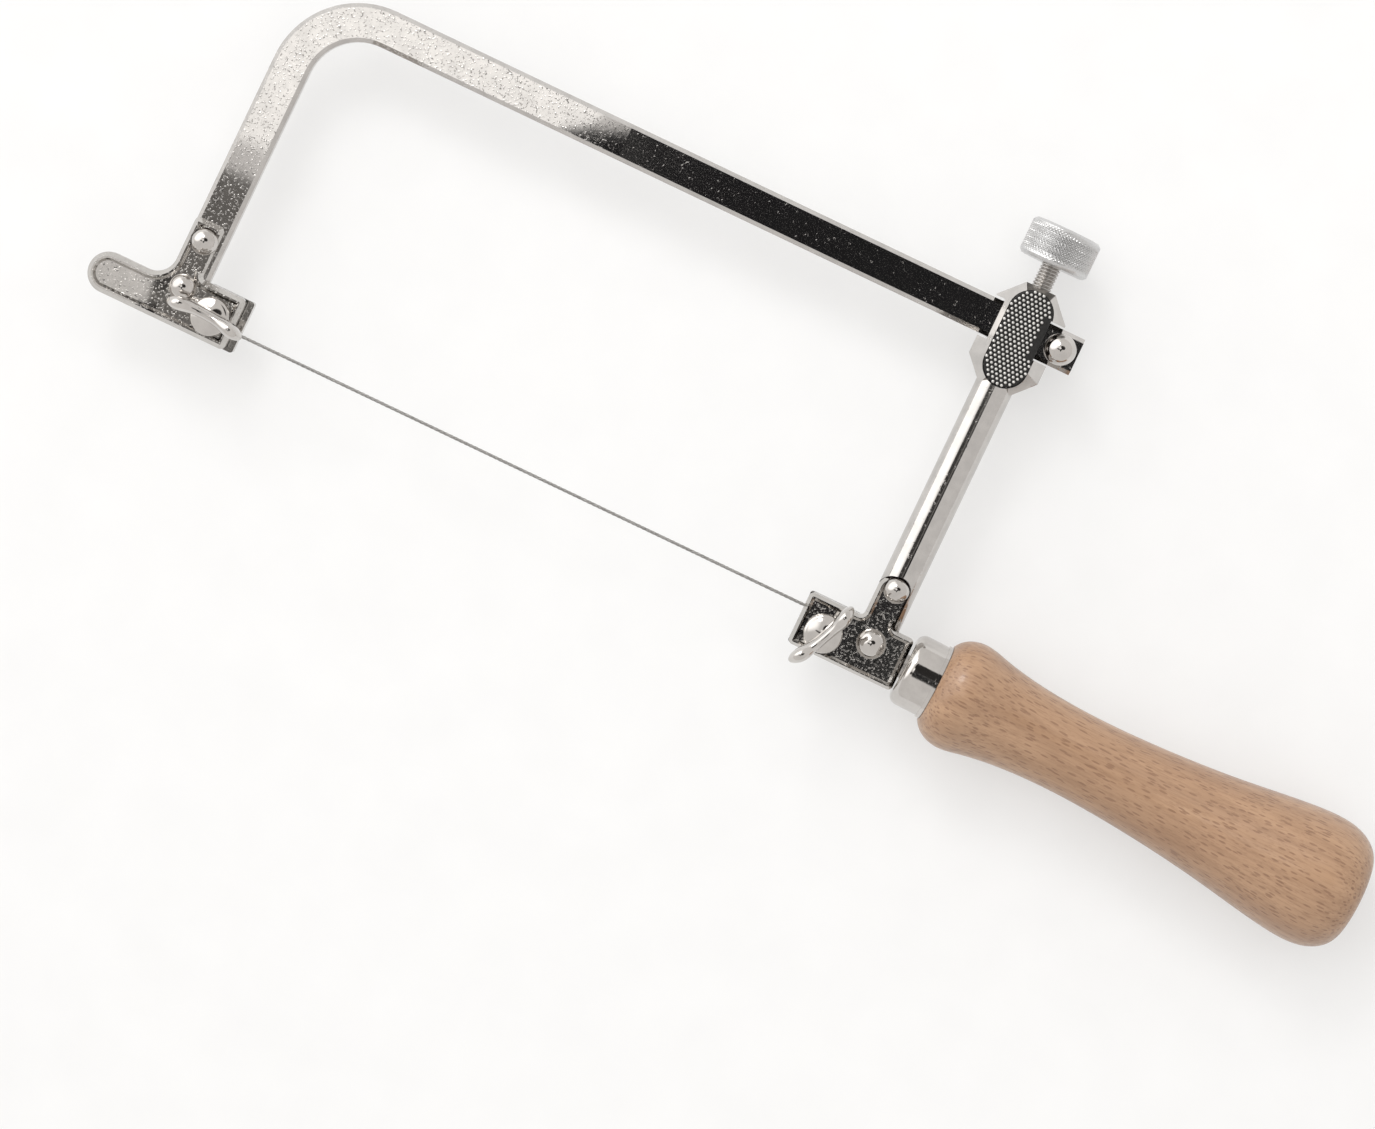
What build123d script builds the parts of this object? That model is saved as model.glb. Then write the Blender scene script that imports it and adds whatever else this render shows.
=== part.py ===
"""Adjustable wire saw for clay: a flat steel bow slides through a block on top of a round post, and a
taut cutting wire is clamped between the bow and the handle. Millimetres, lying flat, +Z up.

+X runs along the wire towards the handle, +Y from the wire towards the spine of the bow. The origin is the
middle of the object's footprint, on the surface it lies on."""

import math
import os

from build123d import *

# ---------------------------------------------------------------- driving dimensions
wire_diameter = 0.8
wire_y = -42.3  # line of the wire
throat_depth = 76.4  # wire to the inner edge of the spine, 3 inch frame
front_jaw_x = -129.9  # inner end of the front clamp
rear_jaw_x = 19.1  # inner end of the rear clamp

bar_width = 9.3  # nominal 3/8 inch flat bar
bar_thickness = 4.0
bar_chamfer = 1.0
bar_end_x = 52.2
leg_x = -146.3  # centre line of the bow's leg
bow_bend_radius = 17.25  # on the centre line

post_diameter = 9.4  # nominal 3/8 inch round rod
post_x = 37.47

handle_radius = 16.1
handle_drop = 1.87  # degrees that the handle leans away from the spine
ferrule_x = 46.7
ferrule_y = -45.3
ferrule_radius = 9.0
ferrule_length = 8.6

plate_thickness = 3.4  # clamp brackets
jaw_thickness = 3.0
jaw_chamfer = 0.4
front_bevel = 1.05  # width of the outer slope, half of the whole rim
rear_bevel = 0.8
bevel_height = 1.4
rim_height = 0.7
rim_slope = 40  # inner slope of the rim, degrees from upright
seat_gap = 0.02  # wire to clamp face
lap_gap = 0.1

rivet_radius = 1.6
rivet_head_height = 2.8
spot_face_clearance = 0.12
wing_shank_radius = 2.0
wing_hole_clearance = 0.25
running_clearance = 0.05
flange_radius = 4.7

# ---------------------------------------------------------------- levels and planes
mid_z = handle_radius  # the bow, the post and the wire lie on this level
bar_half = bar_thickness / 2
plate_back = wire_diameter / 2 + seat_gap
plate_front = plate_back + plate_thickness
plate_floor = plate_front - rim_height
spine_y = wire_y + throat_depth + bar_width / 2
post_radius = post_diameter / 2


def level(height):
    """A horizontal plane at a height above the middle of the saw."""
    return Plane.XY.offset(mid_z + height)


def save(part, label):
    """Names one finished piece and writes it to its own STEP file."""
    part.label = label
    export_step(part, f"parts/{label}.step")


os.makedirs("parts", exist_ok=True)

# ---------------------------------------------------------------- front bracket
front_bottom_y = wire_y - 4.75
front_top_y = wire_y + 8.45
front_plate_end_x = front_jaw_x - 1.7  # the jaw behind shows as a ledge
tab_height = 10.0
tab_end_x = -169.1
tab_fillet = 5.0
front_arm_left_x = leg_x - bar_width / 2
front_arm_right_x = leg_x + bar_width / 2 - 1.8
front_arm_top_y = wire_y + 21.6
front_rivets = {  # place and radius of the head
    "front_rivet_upper": (leg_x - 0.3, wire_y + 16.8, 3.3),
    "front_rivet_lower": (leg_x - 0.3, wire_y + 4.7, 3.3),
}
front_screw = (front_jaw_x - 7.8, wire_y + 1.3)

# ---------------------------------------------------------------- rear bracket
rear_bottom_y = wire_y - 9.5
rear_top_y = wire_y + 3.9
rear_end_x = ferrule_x - 0.4
rear_arm_left_x = post_x - post_radius
rear_arm_right_x = post_x + 3.05
rear_arm_top_y = wire_y + 15.7
rear_rivets = {
    "rear_rivet_upper": (post_x - 0.15, wire_y + 12.8, 3.2),
    "rear_rivet_lower": (post_x - 0.2, wire_y - 1.3, 3.6),
}
rear_screw = (rear_jaw_x + 6.8, wire_y - 4.0)

# ---------------------------------------------------------------- slider block
block_y = wire_y + 78.9
block_width = 18.0
block_length = 26.6
block_corner_x = 5.2
block_corner_y = 5.6
block_shoulder = 6.3
block_slope_width = 3.45  # sloping border round both flat sides
block_slope_depth = 4.0
block_face = 7.1
pad_width = 11.1
pad_length = 24.6
slot_clearance = 0.1
entry_depth = 2.3  # how far the block is cut back where the bar goes in
notch_x = 41.4  # wall that the stop rivet meets
notch_height = 10.2
notch_bevel = 1.2
stop_rivet_x = bar_end_x - 4.5
post_top_y = spine_y - bar_width / 2 - 1.6

# ---------------------------------------------------------------- lock screw
stud_radius = 2.45
stud_tip_gap = 0.15
knob_radius = 8.75
knob_height = 9.3
knob_bevel = 0.8
knob_bottom_y = block_y + block_length / 2 + 6.0
knob_bore_depth = 7.0
knob_dish_radius = 6.2
knob_dish_depth = 0.5

# ---------------------------------------------------------------- handle
drop = math.radians(handle_drop)
handle_direction = Vector(math.cos(drop), -math.sin(drop), 0)
handle_start = Vector(ferrule_x, ferrule_y, mid_z)
handle_side = Plane(origin=handle_start, x_dir=handle_direction, z_dir=(0, 0, 1))
handle_face = Plane(origin=handle_start, x_dir=(0, 0, 1), z_dir=handle_direction)
handle_axis = Axis(handle_start, handle_direction)
handle_length = 120.5
spigot_radius = 8.1
spigot_start = 1.7
tang_radius = 3.0
tang_tip_radius = 1.6
tang_length = 52.0
tang_overlap = 4.0
ferrule_nose = 2.2
ferrule_wall = 1.5
ferrule_lip = 0.35


# ================================================================ bow
with BuildPart() as bow:
    with BuildSketch(level(0)):
        with BuildLine():
            FilletPolyline(
                (leg_x, front_bottom_y + 0.5),
                (leg_x, spine_y),
                (bar_end_x, spine_y),
                radius=bow_bend_radius,
            )
        trace(line_width=bar_width)
    extrude(amount=bar_half, both=True)
    broad_faces = bow.faces().filter_by(Axis.Z)
    end_edges = bow.faces().sort_by(Axis.X)[-1].edges() + bow.faces().sort_by(Axis.Y)[0].edges()
    chamfer(broad_faces.edges() - end_edges, length=bar_chamfer)
    with BuildSketch(level(-bar_thickness)):
        with Locations(*((x, y) for x, y, head_radius in front_rivets.values()), (stop_rivet_x, spine_y)):
            Circle(rivet_radius)
    extrude(amount=2 * bar_thickness, mode=Mode.SUBTRACT)
save(bow.part, "bow")


# ================================================================ brackets
def bracket(outline, bevel, open_side, rivets, screw):
    """A cast plate with a bevelled edge and a raised rim round a sunk field; the rim runs out on one side."""
    with BuildPart() as plate:
        with BuildSketch(level(plate_back)):
            add(outline)
        extrude(amount=plate_thickness)
        front = plate.faces().sort_by(Axis.Z)[-1]
        chamfer(front.edges(), length=bevel, length2=bevel_height, reference=front)
        with BuildSketch(level(plate_floor)):
            add(offset(outline, amount=-2 * bevel, mode=Mode.PRIVATE))
        extrude(amount=rim_height, taper=-rim_slope, mode=Mode.SUBTRACT)
        with BuildSketch(level(plate_floor)):
            add(open_side)
            for x, y, head_radius in rivets:
                with Locations((x, y)):
                    Circle(head_radius + spot_face_clearance)
            with Locations(screw):
                Circle(flange_radius + 0.2)
        extrude(amount=plate_thickness, mode=Mode.SUBTRACT)
        with BuildSketch(level(0)):
            with Locations(*((x, y) for x, y, head_radius in rivets)):
                Circle(rivet_radius)
            with Locations(screw):
                Circle(wing_shank_radius + wing_hole_clearance)
        extrude(amount=2 * plate_thickness, mode=Mode.SUBTRACT)
    return plate.part


def side_opening(x_edge, bevel, y_from, y_to):
    """The strip of an arm's right side where the field reaches the edge."""
    with BuildSketch() as strip:
        with Locations((x_edge - 2 * bevel, y_from)):
            Rectangle(6 * bevel, y_to - y_from, align=(Align.MIN, Align.MIN))
    return strip.sketch


with BuildSketch() as front_outline:
    with BuildLine():
        Polyline(
            (tab_end_x, front_bottom_y),
            (front_plate_end_x, front_bottom_y),
            (front_plate_end_x, front_top_y),
            (front_arm_right_x, front_top_y),
            (front_arm_right_x, front_arm_top_y),
            (front_arm_left_x, front_arm_top_y),
            (front_arm_left_x, front_bottom_y + tab_height),
            (tab_end_x, front_bottom_y + tab_height),
            close=True,
        )
    make_face()
    crook = front_outline.vertices().sort_by_distance((front_arm_left_x, front_bottom_y + tab_height))[0]
    fillet(crook, radius=tab_fillet)
    fillet(front_outline.vertices().group_by(Axis.X)[0], radius=tab_height / 2 - 0.05)
    corners = front_outline.vertices().filter_by_position(Axis.X, front_arm_left_x - 0.1, front_jaw_x)
    on_crook = corners.sort_by_distance((front_arm_left_x, front_bottom_y + tab_height + tab_fillet))[0]
    fillet(corners - ShapeList([on_crook]), radius=front_bevel + 0.1)
front_opening = side_opening(front_arm_right_x, front_bevel, front_top_y + 1.2, front_arm_top_y - 1.9)
channel_gap = 0.03
with BuildPart() as front_bracket:
    add(bracket(front_outline.sketch, front_bevel, front_opening, front_rivets.values(), front_screw))
    with BuildSketch(level(0)):  # channel that seats the bracket on the bow
        with Locations((leg_x, front_bottom_y + 0.5 - channel_gap)):
            Rectangle(bar_width + 2 * channel_gap, 60, align=(Align.CENTER, Align.MIN))
    extrude(amount=bar_half + channel_gap, mode=Mode.SUBTRACT)
save(front_bracket.part, "front_bracket")

with BuildSketch() as rear_outline:
    with BuildLine():
        Polyline(
            (rear_jaw_x, rear_bottom_y),
            (rear_end_x, rear_bottom_y),
            (rear_end_x, rear_top_y),
            (rear_arm_right_x, rear_top_y),
            (rear_arm_right_x, rear_arm_top_y),
            (rear_arm_left_x, rear_arm_top_y),
            (rear_arm_left_x, rear_top_y),
            (rear_jaw_x, rear_top_y),
            close=True,
        )
    make_face()
    fillet(rear_outline.vertices().filter_by_position(Axis.Y, rear_bottom_y, rear_top_y), radius=1.2)
    fillet(rear_outline.vertices().group_by(Axis.Y)[-1], radius=3.6)
rear_opening = side_opening(rear_arm_right_x, rear_bevel, rear_top_y + 2.0, rear_arm_top_y - 3.9)
rear_bracket = bracket(rear_outline.sketch, rear_bevel, rear_opening, rear_rivets.values(), rear_screw)
save(rear_bracket, "rear_bracket")


# ================================================================ jaw plates behind the brackets
def jaw(x_from, x_to, y_from, y_to, screw):
    """A loose plate that squeezes the wire against its bracket; the wing screw is threaded into it."""
    with BuildPart() as plate:
        with BuildSketch(level(-plate_back - jaw_thickness)):
            with Locations((x_from, y_from)):
                RectangleRounded(x_to - x_from, y_to - y_from, 0.7, align=(Align.MIN, Align.MIN))
        extrude(amount=jaw_thickness)
        chamfer(plate.faces().sort_by(Axis.Z)[0].edges(), length=jaw_chamfer)
        with BuildSketch(level(0)):
            with Locations(screw):
                Circle(wing_shank_radius + running_clearance)
        extrude(amount=-2 * jaw_thickness, mode=Mode.SUBTRACT)
    return plate.part


jaw_gap = 0.25  # jaw plate to the bar or post that keeps it from turning
front_jaw = jaw(leg_x + bar_width / 2 + jaw_gap, front_jaw_x, front_bottom_y, front_top_y, front_screw)
save(front_jaw, "front_jaw")
rear_jaw = jaw(rear_jaw_x, post_x - post_radius - jaw_gap, rear_bottom_y, rear_top_y, rear_screw)
save(rear_jaw, "rear_jaw")


# ================================================================ post with a milled seat for the rear bracket
post_bottom_y = rear_bottom_y + 1.0
with BuildPart() as post:
    with BuildSketch(Plane(origin=(post_x, post_bottom_y, mid_z), z_dir=(0, 1, 0))):
        Circle(post_radius)
    extrude(amount=post_top_y - post_bottom_y)
    chamfer(post.edges().filter_by(GeomType.CIRCLE), length=0.5)
    with BuildSketch(level(plate_back)):
        add(offset(rear_outline.sketch, amount=lap_gap, mode=Mode.PRIVATE))
    extrude(amount=post_diameter, mode=Mode.SUBTRACT)
    with BuildSketch(level(plate_floor)):  # spot faces for the rivet heads
        for x, y, head_radius in rear_rivets.values():
            with Locations((x, y)):
                Circle(head_radius + spot_face_clearance)
    extrude(amount=post_diameter, mode=Mode.SUBTRACT)
    with BuildSketch(level(-post_diameter)):
        with Locations(*((x, y) for x, y, head_radius in rear_rivets.values())):
            Circle(rivet_radius)
    extrude(amount=2 * post_diameter, mode=Mode.SUBTRACT)
save(post.part, "post")


# ================================================================ slider block
with BuildPart() as slider_block:
    with BuildSketch(Plane(origin=(post_x, block_y, mid_z))):
        Rectangle(block_width, block_length - 2 * block_corner_y)
        Rectangle(block_width - 2 * block_corner_x, block_length)
        make_hull()
    extrude(amount=block_shoulder, both=True)
    for flat_side in slider_block.faces().filter_by(Axis.Z):
        chamfer(flat_side.edges(), length=block_slope_width, length2=block_slope_depth, reference=flat_side)
    with BuildSketch(level(-block_face)):  # raised grip pads, front and back
        with Locations((post_x, block_y)):
            SlotOverall(pad_length, pad_width, rotation=90)
    extrude(amount=2 * block_face)
    with BuildSketch(Plane(origin=(post_x, spine_y, mid_z), x_dir=(0, 1, 0), z_dir=(1, 0, 0))):  # bar slot
        Rectangle(bar_width + 2 * slot_clearance, bar_thickness + 2 * slot_clearance)
    extrude(amount=block_width, both=True, mode=Mode.SUBTRACT)
    with BuildSketch(level(-block_face)):
        with Locations((post_x - block_width / 2, spine_y)):  # bar entry
            Rectangle(2 * entry_depth, bar_width + 1.2)
        with Locations((notch_x, spine_y)):  # seat of the stop rivet
            Rectangle(block_width, notch_height, align=(Align.MIN, Align.CENTER))
    extrude(amount=2 * block_face, mode=Mode.SUBTRACT)
    notch_wall = slider_block.faces().filter_by(Axis.X).filter_by_position(Axis.X, notch_x - 0.01, notch_x + 0.01)
    chamfer(notch_wall.edges().filter_by(Axis.Y).group_by(Axis.Z)[-1], length=notch_bevel)
    with BuildSketch(Plane(origin=(post_x, block_y - block_length, mid_z), z_dir=(0, 1, 0))):
        Circle(post_radius)
    extrude(amount=post_top_y - (block_y - block_length), mode=Mode.SUBTRACT)
    with BuildSketch(Plane(origin=(post_x, spine_y, mid_z), z_dir=(0, 1, 0))):
        Circle(stud_radius + running_clearance)
    extrude(amount=block_length, mode=Mode.SUBTRACT)
save(slider_block.part, "slider_block")


# ================================================================ rivets
def dome_rivet(place, seat, tail, head_radius, head_height):
    """A rivet: a ball-shaped head on the seat level, its shank hammered flush at the tail."""
    ball = (head_radius**2 + head_height**2) / (2 * head_height)
    with BuildPart() as rivet:
        with Locations((*place, mid_z + seat + head_height - ball)):
            Sphere(ball)
        with BuildSketch(level(seat)):
            with Locations(place):
                Circle(2 * ball)
        extrude(amount=-2 * ball, mode=Mode.SUBTRACT)
        with BuildSketch(level(tail)):
            with Locations(place):
                Circle(rivet_radius)
        extrude(amount=seat - tail)
    return rivet.part


for name, (x, y, head_radius) in front_rivets.items():
    save(dome_rivet((x, y), plate_floor, -bar_half, head_radius, rivet_head_height), name)
for name, (x, y, head_radius) in rear_rivets.items():
    save(dome_rivet((x, y), plate_floor, -post_radius + 1.0, head_radius, rivet_head_height), name)

stop_rivet = dome_rivet((stop_rivet_x, spine_y), bar_half, -bar_half, 2.65, 6.55)
save(stop_rivet, "stop_rivet")


# ================================================================ wing screws
shank_reach = plate_floor + plate_back + jaw_thickness + 0.4
ear_reach = 9.9
ear_radius = 3.7
ear_level = 7.6
ear_dip = 1.1
dip_radius = 9.0


def wing_screw(place, turn):
    """A thumb screw: round flange, short neck, two thin rounded ears, shank down through both jaws."""
    with BuildPart() as ears:
        with BuildSketch(Plane.XZ) as outline:
            with Locations((-ear_reach + ear_radius, ear_level), (ear_reach - ear_radius, ear_level)):
                Circle(ear_radius)
            make_hull()
            with Locations((0, ear_level + ear_radius - ear_dip + dip_radius)):
                Circle(dip_radius, mode=Mode.SUBTRACT)
            fillet(outline.vertices().group_by(Axis.Y)[-1], radius=3)
        extrude(amount=3, both=True)
        with BuildSketch():  # lens-shaped plan: thick in the middle, thin at the tips
            with BuildLine():
                near = ThreePointArc((-ear_reach - 1, 1.0), (0, 1.7), (ear_reach + 1, 1.0))
                far = ThreePointArc((-ear_reach - 1, -1.0), (0, -1.7), (ear_reach + 1, -1.0))
                Line(near @ 0, far @ 0)
                Line(near @ 1, far @ 1)
            make_face()
        extrude(amount=30, both=True, mode=Mode.INTERSECT)
    with BuildPart() as screw:
        add(ears.part)
        with BuildSketch(Plane.XZ):
            with BuildLine():
                Polyline(
                    (0, -shank_reach),
                    (wing_shank_radius - 0.4, -shank_reach),
                    (wing_shank_radius, -shank_reach + 0.4),
                    (wing_shank_radius, 0),
                    (flange_radius, 0),
                    (flange_radius, 1.1),
                    (flange_radius - 0.4, 1.5),
                    (3.0, 1.9),
                    (2.5, 2.6),
                    (2.5, ear_level - 1),
                    (0, ear_level - 1),
                    close=True,
                )
            make_face()
        revolve(axis=Axis.Z)
    return screw.part.moved(Location((*place, mid_z + plate_floor), (0, 0, turn)))


save(wing_screw(front_screw, -3), "front_wing_screw")
save(wing_screw(rear_screw, 65), "rear_wing_screw")


# ================================================================ wire
wire_from = front_screw[0] + wing_shank_radius + 0.6
wire_to = post_x - post_radius - 0.5
with BuildPart() as cutting_wire:
    with BuildSketch(Plane(origin=(wire_from, wire_y, mid_z), z_dir=(1, 0, 0))):
        Circle(wire_diameter / 2)
    extrude(amount=wire_to - wire_from)
save(cutting_wire.part, "cutting_wire")


# ================================================================ lock screw
with BuildPart() as lock_stud:
    stud_bottom_y = spine_y + bar_width / 2 + stud_tip_gap
    with BuildSketch(Plane(origin=(post_x, stud_bottom_y, mid_z), z_dir=(0, 1, 0))):
        Circle(stud_radius)
    extrude(amount=knob_bottom_y + knob_bore_depth - 0.1 - stud_bottom_y)
    chamfer(lock_stud.edges().filter_by(GeomType.CIRCLE), length=0.4)
save(lock_stud.part, "lock_stud")

with BuildPart() as lock_knob:
    with BuildSketch(Plane(origin=(post_x, knob_bottom_y, mid_z), z_dir=(0, 1, 0))):
        Circle(knob_radius)
        Circle(stud_radius + running_clearance, mode=Mode.SUBTRACT)
    extrude(amount=knob_bore_depth)
    with BuildSketch(Plane(origin=(post_x, knob_bottom_y + knob_bore_depth, mid_z), z_dir=(0, 1, 0))):
        Circle(knob_radius)
    extrude(amount=knob_height - knob_bore_depth)
    rims = lock_knob.edges().filter_by(GeomType.CIRCLE).group_by(SortBy.RADIUS)[-1]
    chamfer(rims, length=knob_bevel)
    with BuildSketch(Plane(origin=(post_x, knob_bottom_y + knob_height, mid_z), z_dir=(0, 1, 0))):
        Circle(knob_dish_radius)
    extrude(amount=-knob_dish_depth, mode=Mode.SUBTRACT)
save(lock_knob.part, "lock_knob")


# ================================================================ handle, tang and ferrule
with BuildPart() as handle_tang:
    with BuildSketch(handle_face.offset(-tang_overlap)):
        Circle(tang_radius)
    extrude(amount=tang_overlap + 12)
    with BuildSketch(handle_face.offset(12)):
        Circle(tang_radius)
    with BuildSketch(handle_face.offset(tang_length)):
        Circle(tang_tip_radius)
    loft()
    with BuildSketch(level(plate_back)):  # seat under the bracket
        with Locations((rear_end_x, ferrule_y)):
            Rectangle(20, 20, align=(Align.MAX, Align.CENTER))
    extrude(amount=20, mode=Mode.SUBTRACT)
save(handle_tang.part, "handle_tang")

with BuildPart() as ferrule:
    with BuildSketch(handle_side) as ferrule_profile:
        with BuildLine():
            Polyline(
                (0, tang_radius),
                (0, ferrule_radius),
                (ferrule_length - 0.9, ferrule_radius),
                (ferrule_length - 0.9, ferrule_radius + ferrule_lip),
                (ferrule_length, ferrule_radius + ferrule_lip),
                (ferrule_length, spigot_radius),
                (ferrule_wall, spigot_radius),
                (ferrule_wall, tang_radius),
                close=True,
            )
        make_face()
        nose = ferrule_profile.vertices().sort_by_distance((0, ferrule_radius))[0]
        fillet(nose, radius=ferrule_nose)
    revolve(axis=handle_axis)
save(ferrule.part, "ferrule")

handle_profile = [
    (ferrule_length + 0.1, 9.9),
    (12.4, 12.95),
    (15.5, 13.5),
    (21.0, 12.6),
    (30.5, 11.05),
    (43.0, 10.3),
    (63.0, 10.95),
    (86.0, 13.3),
    (104.0, 15.8),
    (110.0, handle_radius - 0.03),
    (115.8, 14.9),
    (119.0, 12.7),
    (handle_length, 7.5),
]
with BuildPart() as wooden_handle:
    with BuildSketch(handle_side):
        with BuildLine():
            Polyline(
                handle_profile[0],
                (handle_profile[0][0], spigot_radius),
                (spigot_start, spigot_radius),
                (spigot_start, 0),
                (handle_length, 0),
                handle_profile[-1],
            )
            Spline(handle_profile)
        make_face()
    revolve(axis=handle_axis)
    with BuildSketch(handle_face.offset(spigot_start)):
        Circle(tang_radius)
    extrude(amount=12 - spigot_start, mode=Mode.SUBTRACT)
    with BuildSketch(handle_face.offset(12)):
        Circle(tang_radius)
    with BuildSketch(handle_face.offset(tang_length)):
        Circle(tang_tip_radius)
    loft(mode=Mode.SUBTRACT)
save(wooden_handle.part, "wooden_handle")
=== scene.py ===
"""Looks of the adjustable wire saw: plated steel, a knurled knob, gritty wire and lacquered beech, lying on
a pale table under soft light. Everything is in metres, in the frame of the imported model."""

import math

import bmesh
import bpy
from mathutils import Euler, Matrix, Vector


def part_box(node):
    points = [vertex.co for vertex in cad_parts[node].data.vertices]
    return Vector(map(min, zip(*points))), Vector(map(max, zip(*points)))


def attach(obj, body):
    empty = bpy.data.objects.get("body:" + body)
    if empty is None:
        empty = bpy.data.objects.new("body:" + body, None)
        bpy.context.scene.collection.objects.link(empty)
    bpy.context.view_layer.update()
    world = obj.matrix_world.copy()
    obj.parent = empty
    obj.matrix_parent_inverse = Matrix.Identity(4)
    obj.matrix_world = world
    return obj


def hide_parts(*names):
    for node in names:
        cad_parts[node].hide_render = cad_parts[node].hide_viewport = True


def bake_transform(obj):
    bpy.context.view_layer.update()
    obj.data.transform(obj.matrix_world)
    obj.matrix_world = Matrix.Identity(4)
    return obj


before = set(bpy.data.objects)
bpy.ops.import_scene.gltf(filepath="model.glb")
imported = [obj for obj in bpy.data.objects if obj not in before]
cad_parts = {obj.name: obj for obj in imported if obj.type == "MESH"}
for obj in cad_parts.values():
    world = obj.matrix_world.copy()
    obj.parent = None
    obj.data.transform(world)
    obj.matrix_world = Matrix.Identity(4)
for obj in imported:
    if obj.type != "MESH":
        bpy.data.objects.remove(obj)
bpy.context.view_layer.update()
MM = 0.001
METRE = 1000  # in millimetres, for a bump whose height is already in metres


# ================================================================ small helpers
def box(node):
    """Lowest corner, highest corner and middle of a CAD node."""
    low, high = (Vector(corner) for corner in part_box(node))
    return low, high, (low + high) / 2


class Surface:
    """Wires up one procedural material around a Principled shader."""

    def __init__(self, name, roughness=0.3, metallic=0.0):
        self.material = bpy.data.materials.new(name)
        self.material.use_nodes = True
        self.tree = self.material.node_tree
        self.shader = self.tree.nodes["Principled BSDF"]
        self.shader.inputs["Metallic"].default_value = metallic
        self.shader.inputs["Roughness"].default_value = roughness
        self.place = self.node("ShaderNodeTexCoord").outputs["Object"]
        self.bumps = None

    def node(self, kind, **settings):
        made = self.tree.nodes.new(kind)
        for key, value in settings.items():
            setattr(made, key, value)
        return made

    def join(self, source, target):
        self.tree.links.new(source, target)

    def turned(self, turn):
        """Object coordinates, turned about Z."""
        made = self.node("ShaderNodeMapping")
        made.inputs["Rotation"].default_value = (0, 0, turn)
        self.join(self.place, made.inputs["Vector"])
        return made.outputs["Vector"]

    def noise(self, scale, detail=2.0, rough=0.5, where=None, distortion=0.0):
        made = self.node("ShaderNodeTexNoise")
        made.inputs["Scale"].default_value = scale
        made.inputs["Detail"].default_value = detail
        made.inputs["Roughness"].default_value = rough
        made.inputs["Distortion"].default_value = distortion
        self.join(where or self.place, made.inputs["Vector"])
        return made.outputs["Fac"]

    def spread(self, value, low, high, to_low=0.0, to_high=1.0):
        """Maps low..high of a value onto to_low..to_high, clamped."""
        made = self.node("ShaderNodeMapRange")
        self.join(value, made.inputs["Value"])
        limits = {"From Min": low, "From Max": high, "To Min": to_low, "To Max": to_high}
        for key, number in limits.items():
            made.inputs[key].default_value = number
        return made.outputs["Result"]

    def math(self, operation, first, second=0.0, third=0.0):
        """One Math node; each value is a number or a socket."""
        made = self.node("ShaderNodeMath", operation=operation)
        for socket, value in zip(made.inputs, (first, second, third)):
            if isinstance(value, (int, float)):
                socket.default_value = value
            else:
                self.join(value, socket)
        return made.outputs["Value"]

    def mix(self, factor, first, second):
        """Mixes two colours; each is an RGB tuple or a socket."""
        made = self.node("ShaderNodeMix", data_type="RGBA")
        for number, value in ((0, factor), (6, first), (7, second)):  # 6 and 7 are the node's two colours
            socket = made.inputs[number]
            if isinstance(value, (int, float)):
                socket.default_value = value
            elif isinstance(value, tuple):
                socket.default_value = (*value, 1.0)
            else:
                self.join(value, socket)
        return made.outputs[2]

    def bump(self, height, depth_mm):
        """Stacks one more layer of relief; depth is the height of a full step."""
        made = self.node("ShaderNodeBump")
        made.inputs["Strength"].default_value = 1.0
        made.inputs["Distance"].default_value = depth_mm * MM
        self.join(height, made.inputs["Height"])
        if self.bumps:
            self.join(self.bumps, made.inputs["Normal"])
        self.bumps = made.outputs["Normal"]
        self.join(self.bumps, self.shader.inputs["Normal"])

    def coordinate(self, axis):
        """One object coordinate, in metres."""
        made = self.node("ShaderNodeSeparateXYZ")
        self.join(self.place, made.inputs["Vector"])
        return made.outputs[axis]

    def colour(self, socket):
        self.join(socket, self.shader.inputs["Base Color"])

    def roughness(self, socket):
        self.join(socket, self.shader.inputs["Roughness"])


def dress(target, surface):
    """Gives an object one material."""
    target.data.materials.clear()
    target.data.materials.append(surface.material)


def piece(name, mesh, surface, body, smooth, replaces=()):
    """A finished Blender piece that rides on a body; edges sharper than smooth degrees stay sharp."""
    made = bpy.data.objects.new(name, mesh)
    bpy.context.scene.collection.objects.link(made)
    dress(made, surface)
    mesh.shade_smooth()
    mesh.set_sharp_from_angle(angle=math.radians(smooth))
    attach(made, body)
    if replaces:
        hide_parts(*replaces)
    return made


def mesh_from(name, points, faces):
    mesh = bpy.data.meshes.new(name)
    mesh.from_pydata([tuple(p) for p in points], [], faces)
    mesh.update()
    return mesh


def skin(name, rings):
    """A mesh through rings of points, one ring after another, with each end closed by one face."""
    count = len(rings[0])
    points = [p for ring in rings for p in ring]
    faces = []
    for row in range(len(rings) - 1):
        here, there = row * count, (row + 1) * count
        for k in range(count):
            after = (k + 1) % count
            faces.append((here + k, here + after, there + after, there + k))
    faces.append(tuple(reversed(range(count))))
    last = (len(rings) - 1) * count
    faces.append(tuple(range(last, last + count)))
    mesh = mesh_from(name, points, faces)
    work = bmesh.new()
    work.from_mesh(mesh)
    bmesh.ops.recalc_face_normals(work, faces=work.faces)
    work.to_mesh(mesh)
    work.free()
    return mesh


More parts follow.
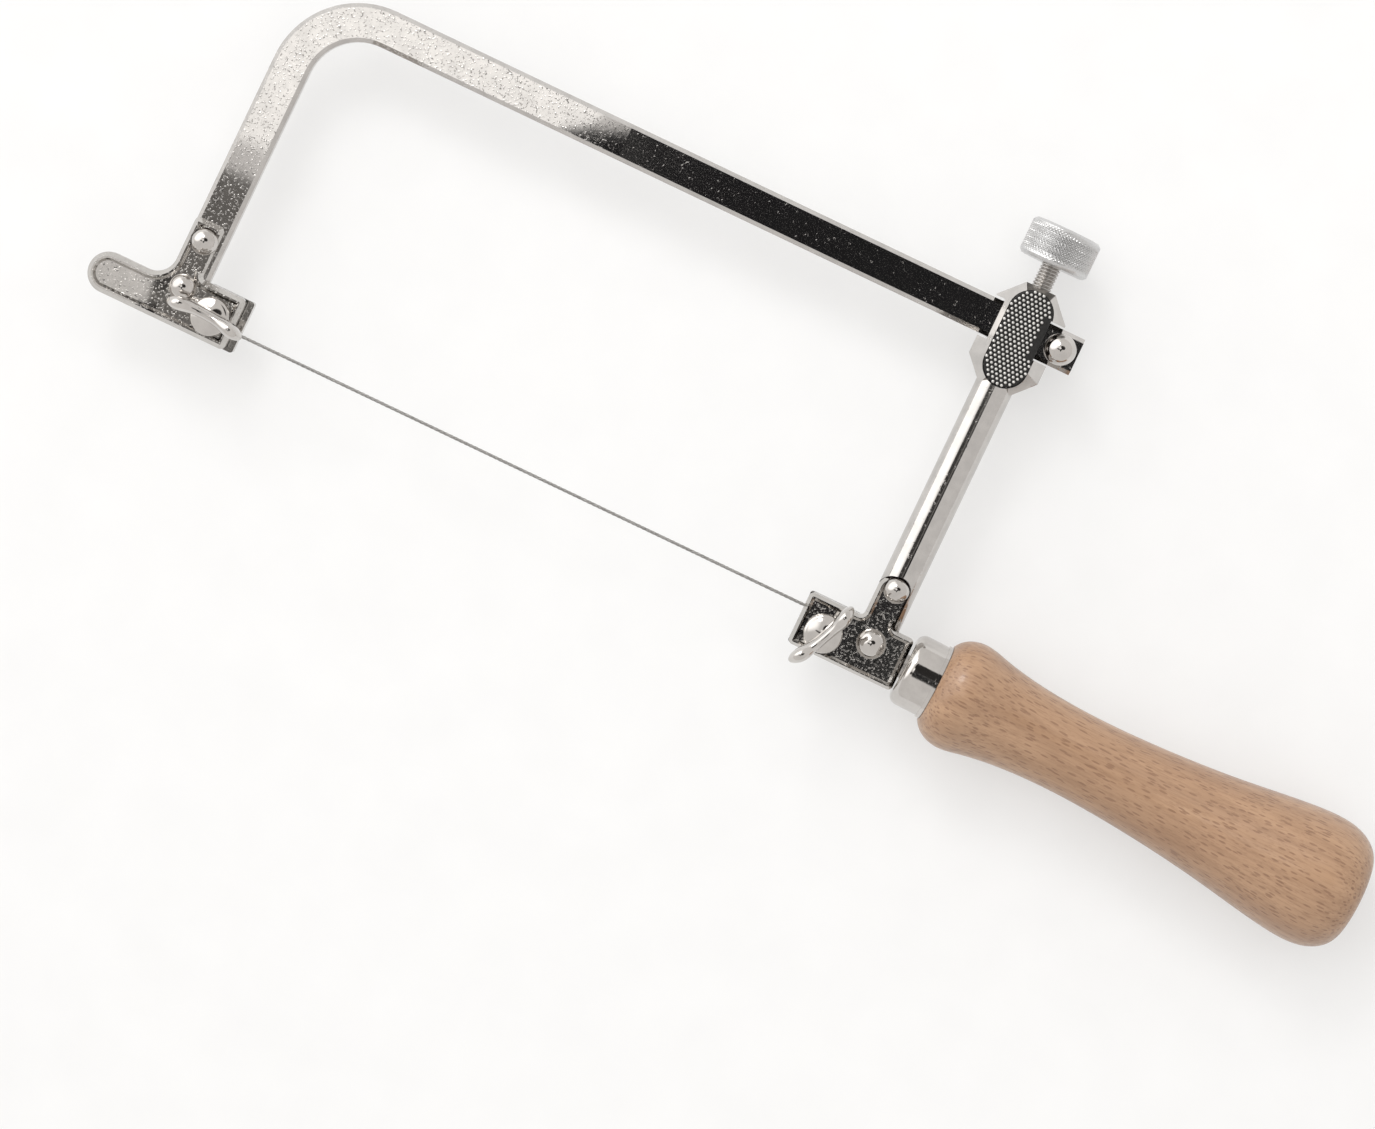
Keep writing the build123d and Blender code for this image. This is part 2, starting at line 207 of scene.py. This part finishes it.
# ================================================================ materials
def plated(name, tint, roughness, relief=1.0, wave=1.0, specks=0.0, tilt=None):
    """Bright plate over a cast or rolled surface: slow waves, fine orange peel, pits and raised specks.

    A tilt leans the surface's normal by a slope across Y, as a rolled bar or a cast tab is never quite flat:
    fully past the end X, not at all before the start X, only above one Y, and with no step at the hinge's Y."""
    s = Surface(name, roughness, metallic=1.0)
    peel = s.noise(1100, detail=2.0, rough=0.55)
    slow = s.noise(110, detail=1.0)
    pits = s.spread(s.noise(900, detail=1.0), 0.66, 0.74)
    if tilt:
        mask = s.spread(s.coordinate("X"), tilt["start"], tilt["end"])
        height = s.math("SMOOTH_MAX", s.coordinate("Y"), tilt["above"], 16 * MM)
        lean = s.math("MULTIPLY", s.math("SUBTRACT", height, tilt["hinge"]), tilt["slope"])
        s.bump(s.math("MULTIPLY", lean, mask), METRE)
    s.bump(slow, 0.020 * wave)
    s.bump(peel, 0.0030 * relief)
    s.bump(pits, 0.010 * relief)
    if specks:
        grains = s.spread(s.noise(1500, detail=1.0), 0.60, 0.66)
        if tilt and tilt["specks_too"]:  # specks only where the surface leans
            grains = s.math("MULTIPLY", grains, mask)
        s.bump(grains, 0.030 * specks)
    dark = tuple(0.88 * c for c in tint)
    s.colour(s.mix(s.spread(s.noise(300, detail=3.0), 0.35, 0.7), tint, dark))
    s.roughness(s.spread(s.noise(2600, detail=2.0), 0.55, 0.75, roughness, roughness + 0.10))
    return s


def local(node, x=0.0, y=0.0):
    """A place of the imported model, in a node's own coordinates."""
    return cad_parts[node].matrix_world.inverted() @ Vector((x, y, 0))


bow_low, bow_high, bow_middle = box("bow")
lean_x = local("bow", x=bow_low.x + 0.375 * (bow_high.x - bow_low.x)).x
bow_lean = {  # the bend and the parts of the spine and the leg next to it
    "specks_too": True,
    "slope": -0.075,
    "start": lean_x + 8 * MM,
    "end": lean_x - 8 * MM,
    "above": local("bow", y=bow_low.y + 0.46 * (bow_high.y - bow_low.y)).y,
    "hinge": local("bow", y=bow_high.y - 4.6 * MM).y,  # middle of the spine
}
plate_low = box("front_bracket")[0]
tab_lean = {  # the finger tab
    "specks_too": False,
    "slope": -0.07,
    "start": local("front_bracket", x=bow_low.x + 1 * MM).x,
    "end": local("front_bracket", x=bow_low.x - 4 * MM).x,
    "above": local("front_bracket", y=plate_low.y - 1).y,  # below the whole plate, so all of its height
    "hinge": local("front_bracket", y=plate_low.y + 5 * MM).y,
}

# the tints are linear RGB
nickel = plated("nickel_plate", (0.575, 0.555, 0.535), 0.07)
bow_nickel = plated(
    "nickel_on_bow", (0.575, 0.555, 0.535), 0.07, relief=0.8, specks=0.8, tilt=bow_lean
)
nickel_smooth = plated("nickel_polished", (0.60, 0.575, 0.55), 0.07, relief=0.3, wave=0.3)
cast_nickel = plated(
    "nickel_on_casting", (0.565, 0.545, 0.52), 0.09, relief=1.7, wave=0.8, specks=0.35
)
tab_nickel = plated(
    "nickel_on_tab", (0.565, 0.545, 0.52), 0.09, relief=1.3, wave=0.8, specks=1.3, tilt=tab_lean
)
screw_steel = plated("screw_steel", (0.52, 0.50, 0.48), 0.28, relief=0.5, wave=0.2)


def knurled_aluminium(name, light, dull):
    s = Surface(name, 0.34, metallic=1.0)
    grain = s.noise(2200, detail=3.0, rough=0.65)
    s.colour(s.mix(s.spread(grain, 0.3, 0.7), light, dull))
    s.roughness(s.spread(grain, 0.3, 0.7, 0.24, 0.40))
    s.bump(grain, 0.01)
    return s


# A near-black sheet under the grip studs: painted shade for the dark reflections of the studs' sloping sides.
def pad_shade_surface():
    s = Surface("black_pad_painted_shade", 0.38, metallic=0.25)
    grain = s.noise(1800, detail=2.0)
    s.colour(s.mix(grain, (0.006, 0.006, 0.006), (0.022, 0.021, 0.020)))
    s.roughness(s.spread(grain, 0.3, 0.7, 0.3, 0.5))
    s.bump(grain, 0.02)
    return s


def gritty_wire():
    s = Surface("gritty_wire", 0.42, metallic=0.9)
    grit = s.noise(5200, detail=2.0, rough=0.7)
    s.colour(s.mix(s.spread(grit, 0.38, 0.66), (0.16, 0.155, 0.15), (0.52, 0.51, 0.49)))
    s.roughness(s.spread(grit, 0.3, 0.7, 0.3, 0.6))
    s.bump(grit, 0.05)
    return s


def beech(turn):
    """Turned beech: straight pale grain, slow growth bands, and the short dark flecks beech is known by."""
    s = Surface("lacquered_beech", 0.42)
    along = s.turned(turn)

    def stretched(length, width, offset=(0, 0, 0)):
        made = s.node("ShaderNodeMapping")
        made.inputs["Scale"].default_value = (1 / length, 1 / width, 1 / width)
        made.inputs["Location"].default_value = offset
        s.join(along, made.inputs["Vector"])
        return made.outputs["Vector"]

    def dashes(length, width, size, offset):
        """Scattered short dashes along the grain: 1 on a dash, 0 between."""
        cells = s.node("ShaderNodeTexVoronoi", feature="F1", voronoi_dimensions="3D")
        cells.inputs["Scale"].default_value = 1.0
        s.join(stretched(length, width, offset), cells.inputs["Vector"])
        return s.spread(cells.outputs["Distance"], size * 0.7, size, 1.0, 0.0)

    grain = s.noise(1.0, detail=4.0, rough=0.62, where=stretched(9 * MM, 0.55 * MM))
    bands = s.noise(1.0, detail=2.0, distortion=0.6, where=stretched(48 * MM, 4.6 * MM))
    cloud = s.noise(1.0, detail=1.0, where=stretched(40 * MM, 16 * MM, (3, 1, 0)))
    flecks = dashes(3.9 * MM, 0.78 * MM, 0.36, (7, 2, 5))
    fine = dashes(2.4 * MM, 0.5 * MM, 0.30, (1, 4, 9))
    pale, warm, deep = (0.390, 0.240, 0.142), (0.310, 0.183, 0.105), (0.215, 0.118, 0.065)
    tone = s.mix(s.spread(bands, 0.36, 0.66), pale, warm)
    tone = s.mix(s.spread(cloud, 0.45, 0.8, 0.0, 0.35), tone, (0.285, 0.158, 0.090))
    tone = s.mix(s.spread(grain, 0.44, 0.74, 0.0, 0.60), tone, deep)
    tone = s.mix(s.math("MULTIPLY", fine, 0.25), tone, (0.20, 0.10, 0.055))
    tone = s.mix(s.math("MULTIPLY", flecks, 0.55), tone, (0.16, 0.075, 0.040))
    s.colour(tone)
    s.roughness(s.spread(grain, 0.3, 0.7, 0.36, 0.5))
    s.bump(grain, 0.02)
    s.bump(s.math("SUBTRACT", 1.0, flecks), 0.03)
    s.shader.inputs["Coat Weight"].default_value = 0.35
    s.shader.inputs["Coat Roughness"].default_value = 0.16
    return s


aluminium = knurled_aluminium("knurled_aluminium", (0.68, 0.68, 0.68), (0.56, 0.56, 0.56))
# darker copy of the knob's aluminium for the deep faces of the grooves: painted shade
groove_shade_aluminium = knurled_aluminium("knurl_groove_painted_shade", (0.20, 0.20, 0.20), (0.13, 0.13, 0.13))
# studs brighter than the nickel they are plated with: painted highlight for the glints off their polished tops
stud_highlight_metal = plated("studs_painted_highlight", (0.80, 0.79, 0.77), 0.38, relief=0.5, wave=0.2)
pad_shade_black = pad_shade_surface()
wire_metal = gritty_wire()
HANDLE_DROP = math.radians(1.87)  # the handle points this far below +X
wood = beech(HANDLE_DROP)

for node, surface in {
    "wooden_handle": wood,
    "handle_tang": screw_steel,
    "ferrule": nickel_smooth,
    "rear_bracket": cast_nickel,
    "rear_rivet_upper": nickel_smooth,
    "rear_rivet_lower": nickel_smooth,
    "post": nickel,
    "slider_block": nickel,
    "bow": bow_nickel,
    "front_bracket": tab_nickel,
    "front_rivet_upper": nickel_smooth,
    "front_rivet_lower": nickel_smooth,
    "stop_rivet": nickel_smooth,
    "front_jaw": cast_nickel,
    "rear_jaw": cast_nickel,
    "front_wing_screw": nickel_smooth,
    "rear_wing_screw": nickel_smooth,
    "lock_stud": screw_steel,
    "lock_knob": aluminium,
    "cutting_wire": wire_metal,
}.items():
    dress(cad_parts[node], surface)


# ================================================================ lock screw: rolled thread and knurled knob
stud_low, stud_high, stud_middle = box("lock_stud")
knob_low, knob_high, knob_middle = box("lock_knob")


def thread_mesh(start, end):
    """A single-start thread along +Y, fading out at both ends."""
    radius, pitch, depth = 2.45 * MM, 0.8 * MM, 0.42 * MM
    around, rows_per_turn = 40, 8
    runout = 0.25 * MM  # the ends are turned down by this much
    rings = []
    rows = int((end - start) / pitch * rows_per_turn)
    for row in range(rows + 1):
        y = start + (end - start) * row / rows
        fade = min(1.0, (y - start) / pitch, (end - y) / pitch)
        ring = []
        for k in range(around):
            angle = 2 * math.pi * k / around
            phase = (y / pitch - angle / (2 * math.pi)) % 1.0
            crest = min(1.0, 1.45 * abs(2 * phase - 1))  # 0 at the root, 1 on the crest's flat
            r = radius - depth * (1 - crest) - runout * (1 - fade)
            ring.append((stud_middle.x + r * math.cos(angle), y, stud_middle.z - r * math.sin(angle)))
        rings.append(ring)
    return skin("lock_thread", rings)


piece(
    "lock_thread",
    thread_mesh(stud_low.y, stud_high.y),
    screw_steel,
    "lock_stud",
    replaces=("lock_stud",),
    smooth=35,
)


def knurled_knob_mesh():
    """A short cylinder with bevelled rims and two crossing sets of helical grooves between them. The deep faces
    of the grooves get a darker copy of the aluminium: painted shade.
    """
    radius = (knob_high.x - knob_low.x) / 2
    bottom, top = knob_low.y, knob_high.y
    bevel, groove_depth, teeth = 0.8 * MM, 0.36 * MM, 62
    around, rows = teeth * 8, 74
    fade_share = 1 / 6  # part of the height over which the grooves run out at each rim
    painted_shade_depth = 0.13 * MM  # faces deeper than this are painted darker, as shade in the groove
    rim, dish_radius, dish_depth = 0.12 * MM, 6.4 * MM, 0.5 * MM
    lean = teeth / (2 * math.pi * radius)  # grooves at 45 degrees

    def knurl(angle, y):
        a = (teeth * angle / (2 * math.pi) + lean * y) % 1.0
        b = (teeth * angle / (2 * math.pi) - lean * y) % 1.0
        ridge = min(abs(2 * a - 1), abs(2 * b - 1))  # 0 at a groove's bottom, 1 midway
        return groove_depth * (1 - min(1.0, 1.6 * ridge))

    levels = [  # height, radius, share of the groove depth
        (bottom, 3.2 * MM, 0),
        (bottom, radius - bevel, 0),
        (bottom + bevel * 0.7, radius - rim, 0),
    ]
    for row in range(rows + 1):
        y = bottom + bevel + (top - bottom - 2 * bevel) * row / rows
        levels.append((y, radius, min(1.0, row / rows / fade_share, (rows - row) / rows / fade_share)))
    levels += [
        (top - bevel * 0.7, radius - rim, 0),
        (top, radius - bevel, 0),
        (top, dish_radius, 0),
        (top - dish_depth, dish_radius - 0.3 * MM, 0),
        (top - dish_depth, 0.3 * MM, 0),
    ]
    rings = []
    for y, r, depth in levels:
        ring = []
        for k in range(around):
            angle = 2 * math.pi * k / around
            rr = r - (knurl(angle, y) * depth if depth else 0)
            ring.append((knob_middle.x + rr * math.cos(angle), y, knob_middle.z - rr * math.sin(angle)))
        rings.append(ring)
    mesh = skin("lock_knob_knurled", rings)
    # the deep faces of the grooves take the second, darker material: painted shade
    for face in mesh.polygons:
        out = math.hypot(face.center.x - knob_middle.x, face.center.z - knob_middle.z)
        if bottom + bevel < face.center.y < top - bevel and out < radius - painted_shade_depth:
            face.material_index = 1
    return mesh


knob = piece(
    "lock_knob_knurled",
    knurled_knob_mesh(),
    aluminium,
    "lock_knob",
    replaces=("lock_knob",),
    smooth=30,
)
knob.data.materials.append(groove_shade_aluminium.material)


# ================================================================ wing screws
TOP_OVER_SEAT = 11.3 * MM  # from the bracket's face to the top of a wing screw's bar
WING_REACH = 9.9 * MM  # from the screw's axis to the bar's end


def ring_points(centre, radius, z, count=40):
    """A level circle of points."""
    angles = [2 * math.pi * k / count for k in range(count)]
    return [(centre.x + radius * math.cos(a), centre.y + radius * math.sin(a), z) for a in angles]


def wing_mesh(node, turn):
    """A cast wing screw: plain shank, round flange with a low cone, and a curved bar with two full ends."""
    low, high, centre = box(node)
    seat = high.z - TOP_OVER_SEAT
    tip = low.z - seat
    profile = [  # radius and height over the seat
        (1.6 * MM, tip),
        (2.0 * MM, tip + 0.4 * MM),
        (2.0 * MM, 0.0),
        (4.1 * MM, 0.0),
    ]
    for k in range(7):  # rounded rim of the flange
        angle = math.radians(-90 + 30 * k)
        profile.append(((4.0 + 0.7 * math.cos(angle)) * MM, (0.75 + 0.7 * math.sin(angle)) * MM))
    profile += [(3.6 * MM, 1.62 * MM), (1.2 * MM, 2.7 * MM)]
    hub = skin("hub", [ring_points(centre, r, seat + z) for r, z in profile])

    stations, around = 45, 28
    squareness = 0.8  # below 1, the bar's section is fuller than an oval
    rings = []
    for k in range(stations):
        t = math.cos(math.pi * (stations - 1 - k) / (stations - 1))  # -1 at one end, 1 at the other
        lobe = math.exp(-(((abs(t) - 0.72) / 0.30) ** 2))  # 1 where each end is fullest
        close = max(0.02, (1 - abs(t) ** 6) ** 0.5)  # rounds both tips off
        rise = min(1.0, max(0.0, (abs(t) - 0.30) / 0.25))  # the bar clears the flange away from the hub
        under = (1.2 + 2.8 * rise * rise * (3 - 2 * rise)) * MM
        over = (9.5 + 1.7 * lobe) * MM
        half_width = (1.35 + 0.50 * lobe) * MM * close
        half_height = (over - under) / 2 * close
        middle = seat + (over + under) / 2
        aside = 1.1 * MM * (t * t - 0.45)  # the bar is bowed to one side
        ring = []
        for j in range(around):
            angle = 2 * math.pi * j / around
            cosine, sine = math.cos(angle), math.sin(angle)
            across = aside + half_width * math.copysign(abs(cosine) ** squareness, cosine)
            lift = half_height * math.copysign(abs(sine) ** squareness, sine)
            along = WING_REACH * t
            x = along * math.cos(turn) - across * math.sin(turn)
            y = along * math.sin(turn) + across * math.cos(turn)
            ring.append((centre.x + x, centre.y + y, middle + lift))
        rings.append(ring)
    bar = skin("bar", rings)
    work = bmesh.new()
    work.from_mesh(hub)
    work.from_mesh(bar)
    joined = bpy.data.meshes.new(node + "_cast")
    work.to_mesh(joined)
    work.free()
    return joined


for end, turn in (("front", 177), ("rear", 65)):  # degrees from +X
    node = end + "_wing_screw"
    piece(
        node + "_cast",
        wing_mesh(node, math.radians(turn)),
        nickel_smooth,
        end + "_wing",
        replaces=(node,),
        smooth=50,
    )


# ================================================================ grip pads of the slider block
block_low, block_high, block_middle = box("slider_block")
PAD_HALF_WIDTH = 5.55 * MM
PAD_STRAIGHT = 12.3 * MM - PAD_HALF_WIDTH  # from the pad's middle to the centre of each round end
STUD_PITCH = 1.12 * MM
STUD_LEVELS = ((0.40, 0.05), (0.33, 0.24), (0.20, 0.36), (0.06, 0.40))  # radius and height, mm
STUD_SIDES = 8


def inside_pad(x, y, margin):
    """True inside the round-ended pad, at least a margin from its edge."""
    return math.hypot(x, max(0.0, abs(y) - PAD_STRAIGHT)) < PAD_HALF_WIDTH - margin


def stud_places():
    """The middles of the studs, in a triangular grid that stops short of the stop rivet's notch."""
    stop_low, _, stop_middle = box("stop_rivet")
    notch = stop_low.x - 2.4 * MM - block_middle.x
    notch_half_height = 5.2 * MM
    slot_y = stop_middle.y - block_middle.y
    places = []
    for row in range(-16, 17):
        for column in range(-8, 9):
            x = column * STUD_PITCH + (row % 2) * STUD_PITCH / 2
            y = row * STUD_PITCH * 0.866
            at_notch = x > notch - 0.5 * MM and abs(y - slot_y) < notch_half_height
            if inside_pad(x, y, 0.5 * MM) and not at_notch:
                places.append((block_middle.x + x, block_middle.y + y))
    return places


def pad_meshes(side):
    """The dark plate of one pad, painted shade for the dark slopes between the studs, and the grid of small
    bright studs that stands on it, brightened as painted highlight.
    """
    face = block_high.z if side > 0 else block_low.z
    edge = PAD_HALF_WIDTH - 0.3 * MM
    outline = []
    for k in range(64):
        angle = 2 * math.pi * (k + 0.5) / 64
        shift = PAD_STRAIGHT * (1 if math.sin(angle) > 0 else -1)
        outline.append((edge * math.cos(angle), edge * math.sin(angle) + shift))
    rings = []
    for height, shrink in ((0.0, 1.0), (0.10 * MM, 0.985)):
        ring = []
        for x, y in outline:
            z = face + side * height
            ring.append((block_middle.x + x * shrink, block_middle.y + y * shrink, z))
        rings.append(ring)
    plate = skin("pad_plate", rings)

    points, faces = [], []
    for x, y in stud_places():
        start = len(points)
        for radius, height in STUD_LEVELS:
            for k in range(STUD_SIDES):
                angle = 2 * math.pi * k / STUD_SIDES
                z = face + side * height * MM
                points.append((x + radius * MM * math.cos(angle), y + radius * MM * math.sin(angle), z))
        for ring in range(len(STUD_LEVELS) - 1):
            first = start + ring * STUD_SIDES
            for k in range(STUD_SIDES):
                a, b = first + k, first + (k + 1) % STUD_SIDES
                up_a, up_b = a + STUD_SIDES, b + STUD_SIDES
                faces.append((a, b, up_b, up_a) if side > 0 else (up_a, up_b, b, a))
        top = [start + (len(STUD_LEVELS) - 1) * STUD_SIDES + k for k in range(STUD_SIDES)]
        faces.append(tuple(top) if side > 0 else tuple(reversed(top)))
    return plate, mesh_from("pad_studs", points, faces)


for side, label in ((1, "front"), (-1, "back")):
    plate, studs = pad_meshes(side)
    piece(f"pad_plate_{label}", plate, pad_shade_black, "frame", smooth=30)
    piece(f"pad_studs_{label}", studs, stud_highlight_metal, "frame", smooth=70)


# ================================================================ cutting wire: fine grit-wound wire
wire_low, wire_high, wire_middle = box("cutting_wire")


def wound_wire_mesh():
    """A straight wire with a shallow spiral ridge wound along it."""
    length = wire_high.x - wire_low.x
    radius, ridge, pitch, around = 0.36 * MM, 0.04 * MM, 1.3 * MM, 14
    rows = int(length / (pitch / 6))
    rings = []
    for row in range(rows + 1):
        x = wire_low.x + length * row / rows
        ring = []
        for k in range(around):
            angle = 2 * math.pi * k / around
            r = radius + ridge * math.cos(2 * (angle - math.pi * x / pitch))
            ring.append((x, wire_middle.y + r * math.cos(angle), wire_middle.z + r * math.sin(angle)))
        rings.append(ring)
    return skin("wound_wire", rings)


wound_wire = bpy.data.objects.new("wound_wire", wound_wire_mesh())
bpy.context.scene.collection.objects.link(wound_wire)
dress(wound_wire, wire_metal)
wound_wire.data.shade_smooth()
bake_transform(wound_wire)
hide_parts("cutting_wire")


# ================================================================ table, light and camera
def table_top():
    s = Surface("pale_table", 0.6)
    grain = s.noise(60, detail=3.0)
    s.colour(s.mix(grain, (0.36, 0.36, 0.36), (0.40, 0.40, 0.40)))
    s.bump(grain, 0.05)
    s.shader.inputs["Emission Color"].default_value = (1.0, 0.995, 0.985, 1.0)
    s.shader.inputs["Emission Strength"].default_value = 0.45
    reach = 4.0  # metres
    corners = [(-reach, -reach, 0), (reach, -reach, 0), (reach, reach, 0), (-reach, reach, 0)]
    floor = bpy.data.objects.new("table_top", mesh_from("table_top", corners, [(0, 1, 2, 3)]))
    bpy.context.scene.collection.objects.link(floor)
    dress(floor, s)


table_top()

# The camera looks straight down; the saw lies turned in its view.
VIEW_TURN = math.radians(25.5)
FIELD = 327.4 * MM  # width of the view at the level of the bow
VIEW_HEIGHT = 900 * MM
camera_foot = Vector((-2.4, 27.2, 0)) * MM  # the point under the lens
view_centre = Vector((-10.2, -45.6, 0)) * MM  # what the middle of the picture shows
level = bow_middle.z

lens = bpy.data.cameras.new("camera")
lens.sensor_width = 36.0
lens.lens = 36.0 * VIEW_HEIGHT / FIELD
lens.clip_start, lens.clip_end = 0.05, 20.0
camera = bpy.data.objects.new("camera", lens)
camera.location = (camera_foot.x, camera_foot.y, level + VIEW_HEIGHT)
camera.rotation_euler = Euler((0, 0, VIEW_TURN))
offset = (view_centre - camera_foot) / FIELD
offset.rotate(Euler((0, 0, -VIEW_TURN)))
lens.shift_x, lens.shift_y = offset.x, offset.y
bpy.context.scene.collection.objects.link(camera)
bpy.context.scene.camera = camera


# What the flat metal mirrors: oval patches of the ceiling, each painted over the ones before it. Sizes are
# sideways reach per unit of height; the colour is linear.
CEILING = (
    # centre, radii, soft edge, colour
    ((0.16, 0.36), (0.34, 0.27), 0.10, (0.035, 0.033, 0.032)),  # someone standing on the +Y side
    ((-0.14, 0.17), (0.13, 0.085), 0.12, (1.6, 1.58, 1.55)),  # a lamp over the bow's bend
    ((-0.32, -0.05), (0.28, 0.075), 0.12, (0.06, 0.057, 0.055)),  # dark wall beyond the front tab
    ((-0.165, -0.05), (0.045, 0.060), 0.25, (0.20, 0.19, 0.18)),  # its lighter part over the front clamp
    ((0.0, -0.03), (0.095, 0.22), 0.12, (0.018, 0.018, 0.019)),  # the camera overhead
)


def studio():
    """A light room, brighter beyond the front tab, with the patches of the ceiling."""
    world = bpy.data.worlds.new("studio")
    world.use_nodes = True
    tree = world.node_tree
    node, join = tree.nodes.new, tree.links.new
    background = tree.nodes["Background"]
    background.inputs["Strength"].default_value = 1.0
    direction = node("ShaderNodeTexCoord").outputs["Generated"]

    def dot(vector):
        made = node("ShaderNodeVectorMath")
        made.operation = "DOT_PRODUCT"
        join(direction, made.inputs[0])
        made.inputs[1].default_value = Vector(vector).normalized()
        return made.outputs["Value"]

    def step(value, low, high):
        made = node("ShaderNodeMapRange")
        made.interpolation_type = "SMOOTHSTEP"
        join(value, made.inputs["Value"])
        made.inputs["From Min"].default_value = low
        made.inputs["From Max"].default_value = high
        return made.outputs["Result"]

    def mix(factor, first, second):
        made = node("ShaderNodeMix")
        made.data_type = "RGBA"
        join(factor, made.inputs[0])
        for socket, value in ((made.inputs[6], first), (made.inputs[7], second)):
            if isinstance(value, tuple):
                socket.default_value = (*value, 1.0)
            else:
                join(value, socket)
        return made.outputs[2]

    parts = node("ShaderNodeSeparateXYZ")
    join(direction, parts.inputs["Vector"])
    flat = node("ShaderNodeVectorMath")
    flat.operation = "SCALE"
    inverse = node("ShaderNodeMath")
    inverse.operation = "DIVIDE"
    inverse.inputs[0].default_value = 1.0
    join(parts.outputs["Z"], inverse.inputs[1])
    join(direction, flat.inputs["Vector"])
    join(inverse.outputs["Value"], flat.inputs["Scale"])
    above = step(parts.outputs["Z"], 0.05, 0.15)

    def patch(centre, radii, soft):
        """1 inside an oval patch of the ceiling, 0 outside it."""
        away = node("ShaderNodeVectorMath")
        away.operation = "SUBTRACT"
        join(flat.outputs["Vector"], away.inputs[0])
        away.inputs[1].default_value = (*centre, 1.0)
        oval = node("ShaderNodeVectorMath")
        oval.operation = "DIVIDE"
        join(away.outputs["Vector"], oval.inputs[0])
        oval.inputs[1].default_value = (*radii, 1.0)
        reach = node("ShaderNodeVectorMath")
        reach.operation = "LENGTH"
        join(oval.outputs["Vector"], reach.inputs[0])
        inside = step(reach.outputs["Value"], 1 + soft, 1 - soft)
        both = node("ShaderNodeMath")
        both.operation = "MULTIPLY"
        join(inside, both.inputs[0])
        join(above, both.inputs[1])
        return both.outputs["Value"]

    bright_side = step(dot((-1.0, 0.35, 0.45)), 0.72, 0.90)
    room = mix(bright_side, (0.86, 0.84, 0.82), (2.0, 1.98, 1.95))
    for centre, radii, soft, colour in CEILING:
        room = mix(patch(centre, radii, soft), room, colour)
    join(room, background.inputs["Color"])
    bpy.context.scene.world = world


def soft_light(name, place, size, watts, aim, mirrored=True):
    """A round lamp; one that isn't mirrored lights the wood and the table but shows in no metal."""
    light = bpy.data.lights.new(name, "AREA")
    light.shape, light.size, light.energy = "DISK", size, watts
    lamp = bpy.data.objects.new(name, light)
    lamp.location = place
    lamp.rotation_euler = (Vector(aim) - Vector(place)).to_track_quat("-Z", "Y").to_euler()
    lamp.visible_glossy = mirrored
    bpy.context.scene.collection.objects.link(lamp)


studio()
soft_light("key_light", (-0.7, 0.9, 1.1), 0.5, 5, (0, 0, 0))
soft_light("fill_light", (-0.2, 0.5, 1.6), 1.8, 12, (0, 0, 0), mirrored=False)
bpy.context.scene.view_settings.view_transform = "Standard"
